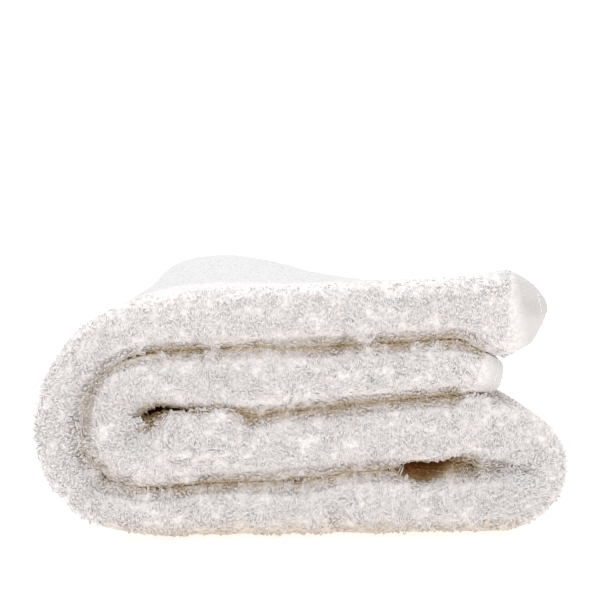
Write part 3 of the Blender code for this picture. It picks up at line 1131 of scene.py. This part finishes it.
radius = YARN_RADIUS * girth**GIRTH_TO_RADIUS * rng.uniform(*RADIUS_SPREAD, count)
common_curl = CURL_FROM_NOISE * swirl(spots.place, CURL_NOISE, CURL_SIZE)
curl = CURL * (common_curl + rng.normal(0, CURL_SCATTER, count))
droop = rng.uniform(0.0, DEEPEST_DROOP, count)
turn = np.linspace(0, math.pi, JOINTS)
out_share = np.sin(turn) ** BEND_POWER
side_share = -np.cos(turn) / 2
roots = spots.place - unit_normal * ROOT_SINK
lines = (
    roots[:, None]
    + out_way[:, None] * (reach[:, None] * out_share)[..., None]
    + wide_way[:, None] * (width[:, None] * side_share + curl[:, None] * out_share**2)[..., None]
    - unit_normal[:, None] * (droop[:, None] * out_share**3)[..., None]
)
tubes = tube_points(lines, plane_way[:, None], radius[:, None, None], SIDES)
tubes[..., 2] = np.maximum(tubes[..., 2], LOWEST_YARN)
print("Joints of yarn:", lines.shape[0] * lines.shape[1])

# %% [markdown]
# ## Sort the loops into pieces
# A piece is easier to handle when it is a part of the towel that has a name, so the loops of each run
# and fold are two meshes, one for its front and one for the rest.

# %% Join the loops, run by run
one_loop = tube_faces(JOINTS, SIDES)


def loop_piece(name, chosen):
    """One mesh of the chosen loops."""
    size = JOINTS * SIDES
    shades = {key: np.repeat(getattr(spots, key)[chosen], size) for key in ("warmth", "pressed")}
    faces = repeat_faces(one_loop, int(chosen.sum()), size)
    return make_piece(name, tubes[chosen].reshape(-1, 3), faces, yarn_finish, **shades)


run_start = 0.0
in_front = spots.y < FRONT_DEPTH
loop_pieces = []
for run, run_end in RUN_ENDS.items():
    in_run = (spots.at >= run_start) & (spots.at < run_end)
    loop_pieces.append(loop_piece(f"loops_{run}_front", in_run & in_front))
    loop_pieces.append(loop_piece(f"loops_{run}_rest", in_run & ~in_front))
    run_start = run_end
print("Pieces of loops:", len(loop_pieces))

# %% [markdown]
# ## The stitches that hold the hems
# Each hem is sewn down with one row of stitches close to its edge. A stitch is a short, flat bow of
# thread that dips into the cloth at both ends. The row follows the cloth across all the faces that
# can be seen.

# %% Sew both hems
STITCH_FROM_EDGE = 4.5 * MM
STITCH_LENGTH = 2.8 * MM
STITCH_PITCH = 3.8 * MM
THREAD_RADIUS = 0.32 * MM
STITCH_BOW = ((0.0, -0.5), (0.2, 0.15), (0.5, 0.3), (0.8, 0.15), (1.0, -0.5))
THREAD_SIDES = 5
# The thread's darker tone is the hem's painted shade.
thread_finish = cotton("hem_thread", HEM_PAINTED_SHADE, GROUND_COTTON, 0.0, 9 * MM, 0.5 * MM, 0.1 * MM)


def sew(name, at):
    """A row of stitches across the cloth at one place along it."""
    row, normals = blend_rings(outer, at)[:BACK_FOLD_END], blend_rings(outward, at)[:BACK_FOLD_END]
    travelled = travelled_along(row)
    starts = np.arange(STITCH_PITCH, travelled[-1] - STITCH_PITCH, STITCH_PITCH)
    share, height = np.array(STITCH_BOW).T
    j = np.interp(starts[:, None] + share * STITCH_LENGTH, travelled, np.arange(len(travelled)))
    up = read_row(normals, j.ravel()).reshape(*j.shape, 3)
    lines = read_row(row, j.ravel()).reshape(*j.shape, 3) + up * (height * MM)[:, None]
    points = tube_points(lines, up, THREAD_RADIUS, THREAD_SIDES)
    size = len(share) * THREAD_SIDES
    stitches = repeat_faces(tube_faces(len(share), THREAD_SIDES), len(starts), size)
    return make_piece(name, points.reshape(-1, 3), stitches, thread_finish, warmth=0.0)


stitch_pieces = [
    sew("hem_stitches_outer", STITCH_FROM_EDGE),
    sew("hem_stitches_inner", PATH_LENGTH - STITCH_FROM_EDGE),
]
total = 2 * len(ground.data.polygons) + sum(len(piece.data.polygons) for piece in loop_pieces + stitch_pieces)
print("Triangles in all:", total)
